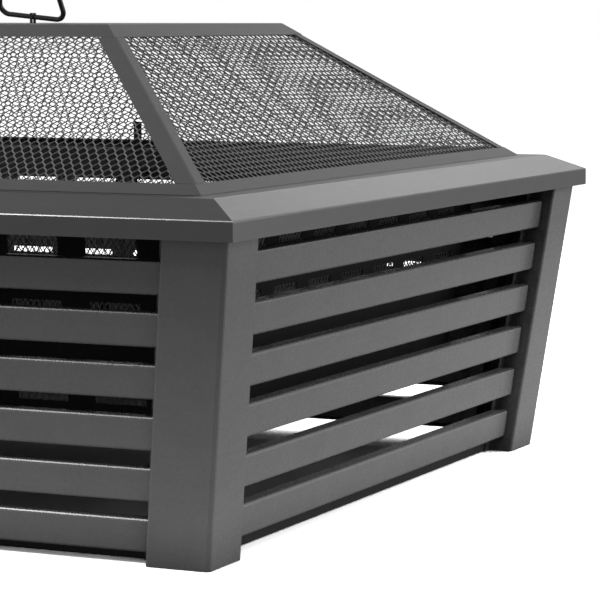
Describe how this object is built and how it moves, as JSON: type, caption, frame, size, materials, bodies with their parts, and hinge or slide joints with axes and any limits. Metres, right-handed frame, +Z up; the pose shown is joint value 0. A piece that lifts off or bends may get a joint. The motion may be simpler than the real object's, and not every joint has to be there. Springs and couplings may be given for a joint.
{
  "type": "fire pit",
  "caption": "Square wood-burning fire pit with tapered slatted sides, a sloped square rim, a mesh-windowed fire box, a log grate and a lift-off mesh lid with a wire handle.",
  "frame": {"origin": "centre of the square footprint on the floor", "axes": "+Z up, -Y the front, +X the right side seen from the front"},
  "size_m": [0.914, 0.914, 0.5342],
  "materials": {
    "body": "satin charcoal powder coat",
    "rail": "matt black paint",
    "fire_box": "matt black heat paint",
    "fire_mesh": "matt black heat paint",
    "lid_frame": "satin charcoal powder coat",
    "lid_mesh": "matt black heat paint",
    "handle": "gloss black",
    "grate": "matt black",
    "zinc": "zinc plated"
  },
  "bodies": {
    "pit": {"bottom_rails": "rail", "fire_mesh_back": "fire_mesh", "fire_mesh_front": "fire_mesh", "fire_mesh_left": "fire_mesh", "fire_mesh_right": "fire_mesh", "fire_pan": "fire_box", "fire_wall_back": "fire_box", "fire_wall_front": "fire_box", "fire_wall_left": "fire_box", "fire_wall_right": "fire_box", "lid_tabs": "fire_box", "post_back_left": "body", "post_back_right": "body", "post_front_left": "body", "post_front_right": "body", "rim_back": "body", "rim_front": "body", "rim_gussets": "body", "rim_left": "body", "rim_nuts": "zinc", "rim_right": "body", "rim_studs": "zinc", "slat_back_1": "body", "slat_back_2": "body", "slat_back_3": "body", "slat_back_4": "body", "slat_back_5": "body", "slat_back_6": "body", "slat_front_1": "body", "slat_front_2": "body", "slat_front_3": "body", "slat_front_4": "body", "slat_front_5": "body", "slat_front_6": "body", "slat_left_1": "body", "slat_left_2": "body", "slat_left_3": "body", "slat_left_4": "body", "slat_left_5": "body", "slat_left_6": "body", "slat_right_1": "body", "slat_right_2": "body", "slat_right_3": "body", "slat_right_4": "body", "slat_right_5": "body", "slat_right_6": "body"},
    "lid": {"lid_base_ring": "lid_frame", "lid_cap": "lid_frame", "lid_hip_back_left": "lid_frame", "lid_hip_back_right": "lid_frame", "lid_hip_front_left": "lid_frame", "lid_hip_front_right": "lid_frame", "lid_mesh_back": "lid_mesh", "lid_mesh_front": "lid_mesh", "lid_mesh_left": "lid_mesh", "lid_mesh_right": "lid_mesh", "handle_clip": "handle"},
    "handle": {"lid_handle": "handle"},
    "grate": {"grate_bars": "grate", "grate_frame": "grate"}
  },
  "joints": [
    {"name": "lid_lift", "type": "slide", "parent": "pit", "child": "lid", "axis": [0, 0, 1], "range_m": [0, 0.3]},
    {"name": "handle_swing", "type": "hinge", "parent": "lid", "child": "handle", "pos_m": [0, 0, 0.4845], "axis": [0.9952, 0, -0.0976], "range_deg": [-110, 60]},
    {"name": "grate_lift", "type": "slide", "parent": "pit", "child": "grate", "axis": [0, 0, 1], "range_m": [0, 0.2]}
  ]
}
